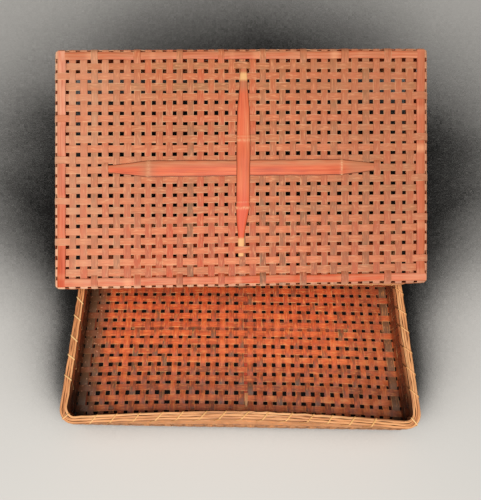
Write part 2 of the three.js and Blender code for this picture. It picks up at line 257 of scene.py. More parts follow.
def lid_bends(half, points):
    """The face is a little skew, wider spaced at its ends and stretched along its far edge."""
    x, y, z = points.T
    share = x / half.half_x
    near = (y / half.half_y + 1) / 2
    low = 1 - np.clip(z / half.height, 0, 1)
    middle, slope = LID_FAR_STRETCH
    far = np.clip((0.3 - near) / 0.3, 0, 1) ** 1.5
    shift = -LID_SKEW * share * near + (middle + slope * share) * far
    return np.column_stack([x + np.interp(share, *LID_DRIFT) * low, y + shift * low, z])


def tray_bends(half, points):
    """The front has sagged forward and bulges below the rim, its rim leans out, and the floor lies askew."""
    x, y, z = points.T
    share = x / half.half_x
    near = np.clip((1 - y / half.half_y) / 2, 0, 1) ** 1.5
    middle, slope, curve = TRAY_FRONT_SAG
    shift = (middle + slope * share + curve * share ** 2) * near
    belly = np.sin(math.pi * np.clip(z / half.band_bottom, 0, 1))
    front = smooth(half.half_y - 25 * MM, half.half_y - 2 * MM, -y)
    ends, most = WALL_BULGE
    bulge = (ends + most * (1 - share ** 2)) * belly * front
    up = np.clip(z / half.height, 0, 1)
    aside, spread = RIM_FLARE
    flare = (aside + spread * share) * near * up + np.interp(share, *TRAY_DRIFT) * (1 - up)
    both, one = RIM_LEAN
    lean = (both * np.abs(share) ** 1.2 + one * share) * near * up
    here, there = TRAY_FLOOR_SHIFT
    shift = shift + lean + (here + there * share) * (1 - up)
    return np.column_stack([x + flare, y + shift - bulge, z])


TRAY = Half("tray", columns=33, rows=21, height=75 * MM, strip_width=11.0 * MM, hoop_width=15.2 * MM,
            plaid=0.4, end_tone=-0.4, end_width=14 * MM, facing=1, seed=11, bends=tray_bends)
LID = Half("lid", columns=35, rows=23, height=84 * MM, strip_width=11.5 * MM, hoop_width=16.5 * MM,
           plaid=0.65, end_tone=0.5, end_width=12 * MM, facing=-1, seed=23, bends=lid_bends)


def lid_place():
    """Turns the lid over and leans its front rim on the tray's rims."""
    corner = LID.half_y - BUNDLE_OUTER
    y = LID_CONTACT_DEPTH + corner * math.cos(LID_TILT) - LID.height * math.sin(LID_TILT)
    z = TRAY.height + LID_REST_GAP + corner * math.sin(LID_TILT) + LID.height * math.cos(LID_TILT)
    return Matrix.Translation((0, y, z)) @ Matrix.Rotation(math.pi + LID_TILT, 4, "X")


LID.place = lid_place()


# Meshes


class Sweeps:
    """Collects swept strips as one mesh, with a UV map along and across them and marks that a material reads."""

    KEYS = ("tone", "mark", "side", "front", "fade", "bare", "crest", "turned", "crease", "soot")

    def __init__(self):
        self.points, self.faces, self.uvs = [], [], []
        self.values = {key: [] for key in self.KEYS}
        self.count = 0

    def add(self, grid, along, across, closed=False, **values):
        """grid is stations by section points; along and across are the UV coordinates of each."""
        stations, ring, _ = grid.shape
        index = self.count + np.arange(stations * ring).reshape(stations, ring)
        rows = np.arange(stations if closed else stations - 1)
        nexts = (rows + 1) % stations
        ahead = np.append(along, along[-1] + along[1] - along[0])[rows + 1]
        for j in range(ring):
            k = (j + 1) % ring
            self.faces.append(np.stack([index[rows, j], index[rows, k], index[nexts, k], index[nexts, j]], 1))
            corners = ((along[rows], across[j]), (along[rows], across[j + 1]),
                       (ahead, across[j + 1]), (ahead, across[j]))
            self.uvs.append(np.stack([stacked(*uv) for uv in corners], 1))
        if not closed:
            self._caps(index, along, across)
        self.points.append(grid.reshape(-1, 3))
        for key in self.KEYS:
            value = np.broadcast_to(values.get(key, 0.0), (stations, ring))
            self.values[key].append(value.reshape(-1))
        self.count += stations * ring

    def _caps(self, index, along, across):
        ring = index.shape[1]
        for row, place in ((index[0][::-1], along[0]), (index[-1], along[-1])):
            for j in range(ring // 2 - 1):
                quad = [row[j], row[j + 1], row[ring - 2 - j], row[ring - 1 - j]]
                self.faces.append(np.array([quad]))
                self.uvs.append(np.full((1, 4, 2), (place, across[0])))

    def build(self, name, half, material):
        points = half.bends(half, np.concatenate(self.points))
        faces = np.concatenate(self.faces)
        uvs = np.concatenate(self.uvs).reshape(-1, 2)
        mesh = bpy.data.meshes.new(name)
        mesh.from_pydata(points.tolist(), [], faces.tolist())
        layer = mesh.uv_layers.new(name="Strip")
        layer.data.foreach_set("uv", uvs.astype(np.float32).ravel())
        for key, values in self.values.items():
            attribute = mesh.attributes.new(key, "FLOAT", "POINT")
            attribute.data.foreach_set("value", np.concatenate(values).astype(np.float32))
        mesh.transform(half.place)
        face_outward(mesh)
        mesh.polygons.foreach_set("use_smooth", [True] * len(mesh.polygons))
        mesh.set_sharp_from_angle(angle=math.radians(35))
        mesh.materials.append(material)
        mesh.update()
        return new_object(name, mesh)


def new_object(name, data):
    made = bpy.data.objects.new(name, data)
    bpy.context.scene.collection.objects.link(made)
    return made


def face_outward(mesh):
    """Turns every face outward, also where a mirrored grid has turned them in."""
    work = bmesh.new()
    work.from_mesh(mesh)
    bmesh.ops.recalc_face_normals(work, faces=work.faces)
    work.to_mesh(mesh)
    work.free()


def section(width, thickness, crown, chamfer=0.3):
    """A flat strip's section, as offsets across it and through it, with worn edges."""
    half, deep = width / 2, thickness / 2
    edge = half - chamfer * thickness
    across = np.array([-half, -edge, 0, edge, half, edge, 0, -edge])
    through = np.array([0, deep, deep + crown, deep, 0, -deep, -deep, -deep])
    return across, through


def around(across):
    """The UV coordinate across a section, run right round it."""
    return np.append(across, across[0])


def wall_place(half_along, half_across, along, radius, inward):
    """Place on a wall with a rounded corner: along it, out to it, and how far it has turned."""
    to_corner = half_along - np.abs(along)
    turn = CORNER_TURN * np.clip(1 - to_corner / radius, 0, 1)
    reach = half_along - radius + (radius - inward) * np.sin(turn)
    placed = np.where(to_corner < radius, np.sign(along) * reach, along)
    across = half_across - radius + (radius - inward) * np.cos(turn)
    return placed, across, turn


def on_wall(half, half_a, half_s, a, level):
    """The wall between its sharper corner at the fold and its rounder one at the rim."""
    rise = np.clip((level - WEAVE_LEVEL) / (half.band_bottom - WEAVE_LEVEL), 0, 1)
    low = wall_place(half_a, half_s, a, FOLD_RADIUS, FOLD_INSET)
    high = wall_place(half_a, half_s, a, RIM_RADIUS, WALL_INSET)
    return [low[k] * (1 - rise) + high[k] * rise for k in range(3)]


def on_basket(half, a, s, half_a, half_s):
    """The weave's middle surface: a across the strip's family, s along it, floor and both walls."""
    flat = half_s - FOLD_INSET - FOLD_BEND
    beyond = np.clip(np.abs(s) - flat, 0, None)
    bend = np.clip(beyond / FOLD_BEND, 0, math.pi / 2)
    up = np.clip(beyond - FOLD_BEND * math.pi / 2, 0, None)
    across = np.where(beyond > 0, flat + FOLD_BEND * np.sin(bend), np.abs(s))
    level = WEAVE_LEVEL + FOLD_BEND * (1 - np.cos(bend)) + up
    wall = on_wall(half, half_a, half_s, a, level)
    share = bend / (math.pi / 2)
    x = a * (1 - share) + wall[0] * share
    y = np.sign(s) * (across - (half_s - FOLD_INSET - wall[1]) * share)
    normal = stacked(np.sin(bend) * np.sin(wall[2]) * np.sign(a), np.sin(bend) * np.cos(wall[2]) * np.sign(s),
                     -np.cos(bend))
    return stacked(x, y, level), normal


def wall_run(half_s, level):
    """How far along a strip a level of the wall lies."""
    return half_s - FOLD_INSET - FOLD_BEND + FOLD_BEND * math.pi / 2 + level - WEAVE_LEVEL - FOLD_BEND


def wave(s, knots, levels):
    """A smooth wave through each level at its knot."""
    place = np.clip(np.searchsorted(knots, s) - 1, 0, len(knots) - 2)
    t = np.clip((s - knots[place]) / (knots[place + 1] - knots[place]), 0, 1)
    ease = (1 - np.cos(math.pi * t)) / 2
    return levels[place] * (1 - ease) + levels[place + 1] * ease


def parity(n):
    return 1 if n % 2 == 0 else -1


def bindings(half):
    """Crossings where a strip is lifted over a slat: (family, strip, crossing) to half the slat's width."""
    bound = {}
    for i in range(3, half.columns - 1, BINDING_STEP):
        bound["warps", i, 0] = bound["warps", i, half.rows - 1] = BOUND_NARROW
    for j in range(2, half.rows - 1, BINDING_STEP):
        bound["wefts", j, 0] = BOUND_WIDE
    for j in range(BINDING_STEP, half.rows - 1, BINDING_STEP):
        bound["wefts", j, half.columns - 1] = BOUND_WIDE
    return bound


def lid_bindings():
    """The lid's cross slats also end under a strip each."""
    bound = bindings(LID)
    bound["warps", 4, 11] = bound["wefts", 19, 17] = BOUND_NARROW
    bound["warps", 30, 11] = bound["wefts", 1, 17] = BOUND_WIDE
    return bound


class Layout:
    """Where the strips of a half lie, how wide they are and their tones, as uneven as handwork."""

    def __init__(self, half):
        random = np.random.default_rng(half.seed)
        self.x = (np.arange(half.columns) + 0.5) * COLUMN_PITCH - half.half_x
        self.y = (np.arange(half.rows) + 0.5) * ROW_PITCH - half.half_y
        self.x[1:-1] += random.uniform(-JITTER, JITTER, half.columns - 2)
        self.y[1:-1] += random.uniform(-JITTER, JITTER, half.rows - 2)
        self.x_width = half.strip_width * random.uniform(0.92, 1.08, half.columns)
        self.y_width = half.strip_width * random.uniform(0.96, 1.11, half.rows)
        self.x_tone = 0.5 + half.plaid * random.uniform(-0.5, 0.5, half.columns)
        self.y_tone = 0.5 + half.plaid * random.uniform(-0.5, 0.5, half.rows)
        self.x_tone[[0, -1]] = half.end_tone
        self.x_width[[0, -1]] = half.end_width
        self.x[[0, -1]] += np.array([-1, 1]) * (half.end_width - half.strip_width) / 4
        self.phase = random.uniform(0, 100, half.columns + half.rows)


def strips(half, layout, family, bound):
    """One family of strips as a mesh, woven over and under the other."""
    lengthwise = family == "warps"
    places, crossings = (layout.x, layout.y) if lengthwise else (layout.y, layout.x)
    widths = layout.x_width if lengthwise else layout.y_width
    tones = layout.x_tone if lengthwise else layout.y_tone
    half_a, half_s = half.sides(lengthwise)
    sign = -1 if lengthwise else 1
    top = wall_run(half_s, half.band_bottom + STRIP_HELD)
    hoop_runs = [wall_run(half_s, level) for level in half.hoop_levels]
    fold = half_s - FOLD_INSET - FOLD_BEND + FOLD_BEND * math.pi / 4
    made = Sweeps()
    s = np.linspace(-top, top, int(2 * top / (COLUMN_PITCH / SAMPLES_PER_PITCH)))
    for i, a0 in enumerate(places):
        knots, levels = [-top], [0]
        for number, run in enumerate([*[-r for r in hoop_runs[::-1]], *crossings, *hoop_runs]):
            j = number - HOOPS
            spread = bound.get((family, i, j))
            at, heights = [run], [sign * parity(i + j) * AMPLITUDE]
            if half.banded and j in (-HOOPS, len(crossings) + HOOPS - 1):
                heights = [-AMPLITUDE]
            elif spread is not None:
                at, heights = [run - spread, run + spread], [WEAVE_LEVEL - BOUND_LEVEL] * 2
                if j == 0:
                    at, heights = [-fold, run - EDGE_SPREAD, run + spread], [FOLD_LIFT, *heights]
                if j == len(crossings) - 1:
                    at, heights = [run - spread, run + EDGE_SPREAD, fold], [*heights, FOLD_LIFT]
            knots += at
            levels += heights
        knots, levels = np.array([*knots, top]), np.array([*levels, 0])
        across, through = section(widths[i], STRIP_THICKNESS, STRIP_CROWN)
        drift = WANDER * np.sin(s * WANDER_RATE + layout.phase[i])
        grid_a = a0 + across + drift[:, None]
        base, normal = on_basket(half, grid_a, s[:, None], half_a, half_s)
        level = wave(s, knots, levels)[:, None]
        base = base + normal * (level + through)[..., None]
        if not lengthwise:
            base = base[..., [1, 0, 2]]
        made.add(base, s + layout.phase[i], around(across) + layout.phase[i] * UV_ASIDE, tone=tones[i],
                 front=nearness(half, base), fade=fading(half, base),
                 crease=crease_wear_and_highlight(half, lengthwise, a0 / half_a, s, fold)[:, None],
                 **dust_and_shade_marks(half, base, across, through, level))
    return made


def dust_and_shade_marks(half, points, across, through, level):
    """What every strip of the weave carries: its dusty marks and painted shade, and how its points lie on it."""
    return {"mark": dust_and_shade(half, points), "soot": soot(half, points), "side": np.abs(across) / across.max(),
            "crest": np.abs(level) / AMPLITUDE, "turned": turned(half, through)}


def crease_wear_and_highlight(half, lengthwise, share, s, fold):
    """How pale the lid's strips are where they fold, by wear and a painted highlight: most in front on its left,
    and at the left.
    """
    first, last = (0.1, 0.9 - 0.5 * smooth(-0.8, 0.6, share)) if lengthwise else (0.8, 0.4)
    worn = np.exp(-((np.abs(s) - fold) / CREASE_REACH) ** 2)
    return (half.facing < 0) * np.where(s < 0, first, last) * worn


def turned(half, through):
    """1 on the face that the photograph doesn't show: the tray's outside and the lid's inside."""
    outer = np.clip(0.5 + through / STRIP_THICKNESS, 0, 1)
    return outer if half.facing > 0 else 1 - outer


def nearness(half, points):
    """How near the photograph's front edge a place is, from 0 to 1."""
    return (1 - half.facing * points[..., 1] / half.half_y) / 2


def fading(half, points):
    """The lid's left side has faded most, and the tray's inside hardly at all."""
    return (half.facing < 0) * smooth(-0.35, -1, points[..., 0] / half.half_x)


def dust_and_shade(half, points):
    """How dusty and darkened a place is, with dusty marks and a painted shade: the lid's right side, the tray's
    sides, and the walls.
    """
    share = points[..., 0] / half.half_x
    # The walls take a painted shade, least on the tray's right wall.
    wall = smooth(WEAVE_LEVEL + 1 * MM, WEAVE_LEVEL + 12 * MM, points[..., 2])
    if half.facing < 0:
        return np.clip(0.38 * smooth(0.1, 0.8, share) + 0.8 * wall, 0, 1)
    right = 0.42 * smooth(0.6, 0.88, share) * (1.2 - 0.6 * nearness(half, points))
    edge = np.where(share < 0, smooth(0.82, 0.95, -share), right)
    return np.clip(edge + wall * np.where(share > 0.9, 0.35, 0.9), 0, 1)


def soot(half, points):
    """A painted shade: the tray's front corners are nearly black inside."""
    ends = smooth(0.88, 0.98, np.abs(points[..., 0] / half.half_x))
    low = smooth(WEAVE_LEVEL - 9 * MM, WEAVE_LEVEL + 8 * MM, points[..., 2])
    return (half.facing > 0) * ends * smooth(0.72, 0.93, nearness(half, points)) * low


def hoops(half, layout):
    """The strips that run round the walls, woven through both families."""
    made = Sweeps()
    random = np.random.default_rng(half.seed + 1)
    step = COLUMN_PITCH / SAMPLES_PER_PITCH
    across, through = section(half.hoop_width, STRIP_THICKNESS, STRIP_CROWN)
    for k, level in enumerate(half.hoop_levels):
        grids, runs, crests, start = [], [], [], 0.0
        band = half.banded and k == HOOPS - 1
        heights = level + across
        for wall in range(4):
            along_x = wall % 2 == 0
            half_a, half_s = half.sides(along_x)
            stakes = layout.x if along_x else layout.y
            way = parity(wall // 2)
            sign, outward = (1, -way) if along_x else (-1, way)
            row = -1 - k if wall in (0, 3) else (half.rows if along_x else half.columns) + k
            levels = np.array([0, *[sign * parity(i + row) for i in range(len(stakes))], 0]) * AMPLITUDE
            if band:
                levels = np.full(len(stakes) + 2, AMPLITUDE)
            a = np.linspace(-half_a, half_a, int(2 * half_a / step))[:-1]
            place_a, place_s, turn = on_wall(half, half_a, half_s, a[:, None], heights)
            level_out = wave(a, np.array([-half_a, *stakes, half_a]), levels)[:, None]
            out = level_out + through
            place_a = place_a + out * np.sin(turn) * np.sign(a)[:, None]
            place_s = outward * (place_s + out * np.cos(turn))
            grid = stacked(*((place_a, place_s) if along_x else (place_s, place_a)), heights)
            grids.append(grid[::way])
            crests.append(level_out[::way])
            runs.append(a - a[0] + start)
            start = runs[-1][-1] + step
        ring = np.concatenate(grids)
        made.add(ring, np.concatenate(runs), around(across) + random.uniform(0, 50), closed=True,
                 tone=0.6 if band else random.uniform(0, 1), front=0.5,
                 **dust_and_shade_marks(half, ring, across, through, np.concatenate(crests)))
    return made


def direction(degrees):
    """The unit vector at an angle."""
    angle = math.radians(degrees)
    return np.array([math.cos(angle), math.sin(angle)])


def rim_corners(half):
    """Each corner's centre and the angle that it starts at, anticlockwise."""
    x, y = half.half_x - RIM_RADIUS, half.half_y - RIM_RADIUS
    return [(np.array(centre), start)
            for centre, start in (((x, -y), -90), ((x, y), 0), ((-x, y), 90), ((-x, -y), 180))]


def rim_path(half, depth):
    """Points and outward directions round the rim at a depth from the wall's outer face, anticlockwise."""
    radius = RIM_RADIUS - depth
    corners = rim_corners(half)
    points, outs = [], []
    for index, (centre, start) in enumerate(corners):
        for angle in np.linspace(start, start + 90, 9):
            outs.append(direction(angle))
            points.append(centre + radius * outs[-1])
        here, out = points[-1], outs[-1]
        end = corners[(index + 1) % 4][0] + radius * out
        count = int(np.linalg.norm(end - here) / RIM_STEP)
        for n in range(1, count):
            points.append(here + (end - here) * n / count)
            outs.append(out)
    return np.array(points), np.array(outs)


def waver(run, seed, size, length=45 * MM):
    """A slow irregular wander along a piece, the same at both ends of a closed run."""
    random = np.random.default_rng(seed)
    total = run[-1] + run[1]
    turns = np.maximum(1, np.round(total / length * random.uniform(0.3, 1.8, 7)))
    waves = [np.sin(2 * math.pi * n * run / total + p) for n, p in zip(turns, random.uniform(0, 7, 7))]
    return size * sum(waves) / 3.5


def run_lengths(points):
    steps = np.linalg.norm(np.diff(points, axis=0), axis=1)
    return np.concatenate([[0], np.cumsum(steps)])


def rim_piece(half, start, end, bottom, top, seed, rounding, wander, tone, corner_shaded=0):
    """A split band or strand round the rim, uneven and with rounded edges; a painted shade makes it darkest on
    the left.
    """
    made = Sweeps()
    points, outs = rim_path(half, (start + end) / 2)
    run = run_lengths(points)
    angles = np.radians(np.arange(0, 360, 30))
    cosine, sine = np.cos(angles), np.sin(angles)
    power = 2 / rounding
    ring_out = np.sign(cosine) * np.abs(cosine) ** power * (end - start) / 2
    ring_up = np.sign(sine) * np.abs(sine) ** power * (top - bottom) / 2
    thick = 1 + waver(run, seed, 0.1)[:, None]
    out = ring_out * thick + waver(run, seed + 1, wander)[:, None]
    up = (bottom + top) / 2 + ring_up * thick + waver(run, seed + 2, wander)[:, None]
    flat = points[:, None] + outs[:, None] * out[..., None]
    grid = np.concatenate([flat, up[..., None]], -1)
    lap = np.append(np.cumsum(np.hypot(np.diff(ring_out), np.diff(ring_up))), 0)
    across = np.concatenate([[0], lap[:-1], [lap[-2] + 1 * MM]])
    # A painted shade: darker on the left and a little lighter on the right, but not at the front.
    dark = (1 - nearness(half, points) ** 6) * np.where(points[:, 0] < 0, 0.24, -0.04)
    # The inner band takes the painted shade of the tray's front corners.
    made.add(grid, run, across + seed, closed=True, tone=(tone - dark)[:, None], side=np.abs(cosine),
             soot=corner_shaded * soot(half, grid))
    return made


def bundle_turn(outer, inner, low, high, bend):
    """One turn round the bundle's section: share of the turn, depth, level and outward direction."""
    corners = (((outer + bend, low + bend), 270), ((outer + bend, high - bend), 180),
               ((inner - bend, high - bend), 90), ((inner - bend, low + bend), 0))
    places, outs = [], []
    for centre, start in corners:
        for angle in np.linspace(start, start - 90, 5):
            outs.append(direction(angle))
            places.append(np.array(centre) + bend * outs[-1])
    run = run_lengths(np.array(places))
    return list(zip(run / run[-1] * 0.96 + 0.01, places, outs))


def sweep_cane(made, centre, normal, inside, across, through, random):
    """One length of cane along its middle line, with its skin to the normal; inside marks where it is grimy."""
    side = np.cross(normal, np.gradient(centre, axis=0))
    side /= np.linalg.norm(side, axis=1)[:, None]
    grid = centre[:, None] + side[:, None] * across[:, None] + normal[:, None] * through[:, None]
    made.add(grid, run_lengths(centre) + random.uniform(0, 20), around(across), tone=random.uniform(0, 1),
             mark=np.array(inside)[:, None])


def lashing(half, seed):
    """Flat cane wound slantwise round the rim bundle, through every second gap between the stakes."""
    made = Sweeps()
    random = np.random.default_rng(seed)
    turn_shape = bundle_turn(BUNDLE_OUTER - RIM_GAP, BUNDLE_INNER + RIM_GAP,
                             half.band_bottom - RIM_GAP - CANE_BELOW, half.height + RIM_GAP, CANE_BEND)
    # 1 where the cane runs down inside the rim, where dirt has kept
    inside = [float(depth > BUNDLE_INNER - 0.5 * MM and level < half.height - 1 * MM)
              for _, (depth, level), _ in turn_shape]
    across, through = section(CANE_WIDTH, CANE_THICKNESS, CANE_CROWN, chamfer=0.5)
    through = through + CANE_THICKNESS / 2
    for quarter in range(4):
        along_x = quarter % 2 == 0
        half_a, half_s = half.sides(along_x)
        pitch = COLUMN_PITCH if along_x else ROW_PITCH
        first = math.ceil((RIM_RADIUS - half_a - pitch / 2) / pitch) * pitch + pitch / 2
        turns = int((half_a - RIM_RADIUS - first) // (2 * pitch))
        centre, outs = [], []
        for turn in range(turns):
            wobble = random.uniform(-CANE_WOBBLE, CANE_WOBBLE)
            slant = random.uniform(*CANE_SLANT)
            for share, (depth, level), out in turn_shape:
                advance = float(np.interp(share, [0, 0.34, 0.6, 1], [0, 0.3, 0.3 + slant, 1]))
                along = first + (turn + advance) * 2 * pitch + wobble * math.sin(math.pi * advance)
                centre.append((along, depth - half_s, level))
                outs.append((0, *out))
        spin = np.array(Matrix.Rotation(quarter * math.pi / 2, 3, "Z")).T
        centre, outs = np.array(centre) @ spin, np.array(outs) @ spin
        sweep_cane(made, centre, outs, inside * turns, across, through, random)
    for spot, start in rim_corners(half):
        centre, outs = [], []
        for share, (depth, level), out in turn_shape:
            outward = direction(start + 45 + 16 * (share - 0.5))
            centre.append((*(spot + outward * (RIM_RADIUS - depth)), level))
            outs.append((*(-outward * out[0]), out[1]))
        sweep_cane(made, np.array(centre), np.array(outs), inside, across, through, random)
    return made


def cross_slat(half, form, other, climbs, seed):
    """A split bamboo slat with swollen nodes and tapered ends.

    It lies along X, or, if it climbs over the other, along Y with its first end in the photograph's front."""
    made = Sweeps()
    run = np.linspace(0, form.length, 180)
    share = run / form.length
    shares, widths = zip(*form.widths)
    width = np.interp(share, shares, np.array(widths) * MM) * (1 + waver(run, seed, 0.02))
    node = sum(strength * np.exp(-((share - place) * form.length / (reach * MM)) ** 2)
               for place, reach, strength in form.nodes)
    sway = np.interp(share, *zip(*form.sways)) * MM
    crossing = (0.5 + (other.across - form.along) / form.length) * form.length
    away = np.abs(run - crossing) - CLIMB_CLEAR
    climb = climbs * (0.5 + 0.5 * np.cos(math.pi * np.clip(away / CLIMB_LENGTH, 0, 1)))
    lift = (CROSS_THICKNESS + RIM_GAP) * climb
    offset = np.array([-0.5, -0.43, -0.25, 0, 0.25, 0.43, 0.5, 0.5, 0, -0.5])
    deep = np.array([-0.25, 0.16, 0.4, 0.5, 0.4, 0.16, -0.25, -0.5, -0.5, -0.5])
    out = deep * CROSS_THICKNESS + node[:, None] * np.where(deep > 0, NODE_RISE, 0)
    x = form.along + run[:, None] - form.length / 2
    y = offset * (width + node * NODE_SWELL)[:, None] + sway[:, None]
    z = (SLAT_LEVEL - lift - CROSS_THICKNESS / 2)[:, None] - out
    if climbs:
        x, y = form.across - half.facing * y, half.facing * x
    else:
        y = half.facing * (y + form.across)
    reddened = climbs * smooth(0.42, 0.22, share)
    made.add(stacked(x, y, z), run, around(offset * 25 * MM) + seed, tone=0.5, mark=node[:, None],
             bare=stretches(share, form.bare, 0.008)[:, None], soot=stretches(share, form.dull, 0.03)[:, None],
             fade=reddened[:, None], side=form.worn * smooth(0.06, 0.25, offset), crest=2 * np.abs(offset))
    return made


def stretches(share, spans, ease):
    """1 in each stretch and 0 elsewhere, with eased ends."""
    parts = [smooth(low - ease, low + ease, share) * smooth(high + ease, high - ease, share)
             for low, high in spans]
    return np.clip(sum(parts, np.zeros_like(share)), 0, 1)


def frame_slat(half, side, binding_places, tone, worn, dull, width, seed, ends):
    """A slat along a fold that runs over three strips and dips under the fourth; ends go past the corners."""
    made = Sweeps()
    along_x = side in ("front", "back")
    near_x, near_y = half.half_x - COLUMN_PITCH / 2, half.half_y - ROW_PITCH / 2
    reach = near_x if along_x else near_y
    length = 2 * reach + sum(ends)
    run = np.linspace(0, length, int(length / (2.5 * MM)))
    a = run - reach - ends[0]
    dip = np.zeros(len(a))
    for place in binding_places:
        away = np.clip((np.abs(a - place) - DIP_FLAT) / DIP_SLOPE, 0, 1)
        dip = np.maximum(dip, 0.5 + 0.5 * np.cos(math.pi * away))
    offset = np.array([-0.5, -0.42, -0.2, 0.2, 0.42, 0.5, 0.42, -0.42])
    deep = np.array([0, 0.35, 0.5, 0.5, 0.35, 0, -0.5, -0.5]) * (FRAME_INNER - FRAME_OUTER)
    seed += half.seed
    wide = width * (1 + waver(run, seed, 0.05, 90 * MM))
    aside = waver(run, seed + 3, 0.5 * MM, 120 * MM)
    b = offset * wide[:, None] + aside[:, None]
    z = (FRAME_OUTER + FRAME_INNER) / 2 + FRAME_DIP * dip[:, None] - deep
    sign = {"front": -half.facing, "back": half.facing, "left": -1, "right": 1}[side]
    across_place = b + sign * ((near_y if along_x else near_x) - FRAME_INSET)
    grid = stacked(*((a[:, None], across_place) if along_x else (across_place, a[:, None])), z)
    share = grid[..., 0] / half.half_x
    ends_worn = np.maximum(smooth(0.2, -0.9, share), smooth(0.6, 1, share))
    wear = ends_worn if along_x else 1 - nearness(half, grid)
    made.add(grid, run + seed, around(offset * width) + seed, tone=tone, side=worn * wear,
             bare=np.clip(waver(run, seed + 7, 0.8, 60 * MM) - 0.4, 0, 1)[:, None], soot=dull)
    return made


# Materials


def linear(red, green, blue):
    """A colour from its 0 to 255 display values."""
    values = [c / 255 for c in (red, green, blue)]
    return [c / 12.92 if c <= 0.04045 else ((c + 0.055) / 1.055) ** 2.4 for c in values] + [1]


def grey(value):
    return [value, value, value, 1]


class Nodes:
    """Short calls for building one material's node tree."""

    def __init__(self, name):
        self.material = bpy.data.materials.new(name)
        self.material.use_nodes = True
        self.tree = self.material.node_tree
        self.shader = self.tree.nodes["Principled BSDF"]

    def make(self, kind, sockets=None, **values):
        """A new node; its sockets are set by name or number."""
        node = self.tree.nodes.new(kind)
        for key, value in values.items():
            setattr(node, key, value)
        self.fill(node, sockets or {})
        return node

    def fill(self, node, sockets):
        """Sets sockets to numbers and colours, or links them to outputs; a string names a mesh's attribute."""
        for key, value in sockets.items():
            if isinstance(value, str):
                value = self.make("ShaderNodeAttribute", attribute_name=value).outputs["Fac"]
            if isinstance(value, (int, float, list)):
                node.inputs[key].default_value = value
            else:
                self.tree.links.new(value, node.inputs[key])

    def noise(self, along, across, detail):
        """Noise over a strip's UV map, with its own scale along and across the strip."""
        uv = self.make("ShaderNodeUVMap", uv_map="Strip").outputs["UV"]
        place = self.make("ShaderNodeMapping", {"Scale": [along, across, 1], "Vector": uv}).outputs["Vector"]
        sockets = {"Scale": 1, "Detail": detail, "Roughness": 0.55, "Vector": place}
        return self.make("ShaderNodeTexNoise", sockets).outputs["Fac"]

    def ramp(self, factor, *stops):
        node = self.make("ShaderNodeValToRGB", {"Fac": factor})
        elements = node.color_ramp.elements
        while len(elements) < len(stops):
            elements.new(0.5)
        for element, (place, colour) in zip(elements, stops):
            element.position = place
            element.color = colour
        return node.outputs["Color"]

    def colours(self, factor, stops):
        """A ramp of display colours, each with its place."""
        return self.ramp(factor, *[(place, linear(*colour)) for place, *colour in stops])

    def step(self, factor, low, high, first=0, last=1):
        """A grey that goes from first to last while the factor goes from low to high."""
        return self.ramp(factor, (low, grey(first)), (high, grey(last)))

    def math(self, operation, *values):
        return self.make("ShaderNodeMath", dict(enumerate(values)), operation=operation).outputs["Value"]

    def varied(self, value, *spreads):
        """A value with noises added, each centred on zero and times its amount."""
        terms = [self.math("MULTIPLY", self.math("SUBTRACT", noise, 0.5), amount) for noise, amount in spreads]
        while len(terms) > 1:
            terms[:2] = [self.math("ADD", *terms[:2])]
        return self.math("ADD", value, terms[0])

    def product(self, first, *others):
        for other in others:
            first = self.math("MULTIPLY", first, other)
        return first

    def mix(self, factor, first, second, blend="MIX"):
        sockets = {0: factor, 6: first, 7: second}
        return self.make("ShaderNodeMix", sockets, data_type="RGBA", blend_type=blend).outputs[2]

    def over(self, colour, tone, *factors):
        """A display colour laid over a colour, as far as the product of the factors."""
        return self.mix(self.product(*factors), colour, linear(*tone))

    def lined(self, colour, depth, lines, low, high, shade):
        """A colour shaded along the low parts of a fine noise."""
        return self.mix(depth, colour, self.ramp(lines, (low, shade), (high, grey(1))), "MULTIPLY")

    def finish(self, colour, roughness, specular, relief, distance, strength):
        """Sets the shader, with a fine relief, and gives the material."""
        bump = self.make("ShaderNodeBump", {"Height": relief, "Distance": distance, "Strength": strength})
        self.fill(self.shader, {"Base Color": colour, "Roughness": roughness, "Specular IOR Level": specular,
                                "Normal": bump.outputs["Normal"]})
        return self.material


# Tones that several materials share, as display colours
DUSTY = (226, 164, 128)
# The painted shade of the tray's front corners
CORNER_SHADE = (46, 32, 22)
# The pale wear and painted highlight of the lid's folds
CREASE_WEAR_AND_HIGHLIGHT = (248, 204, 168)
DULLED = (192, 122, 84)
REDDENED = (226, 80, 46)
# The painted shade between the rim's strands
PAINTED_GROOVE_SHADE = (58, 24, 16)
GRIMY = (96, 60, 38)

# What grain and fine lines multiply a colour by
STRIP_GRAIN = [0.6, 0.52, 0.46, 1]
SLAT_GRAIN = [0.62, 0.52, 0.46, 1]


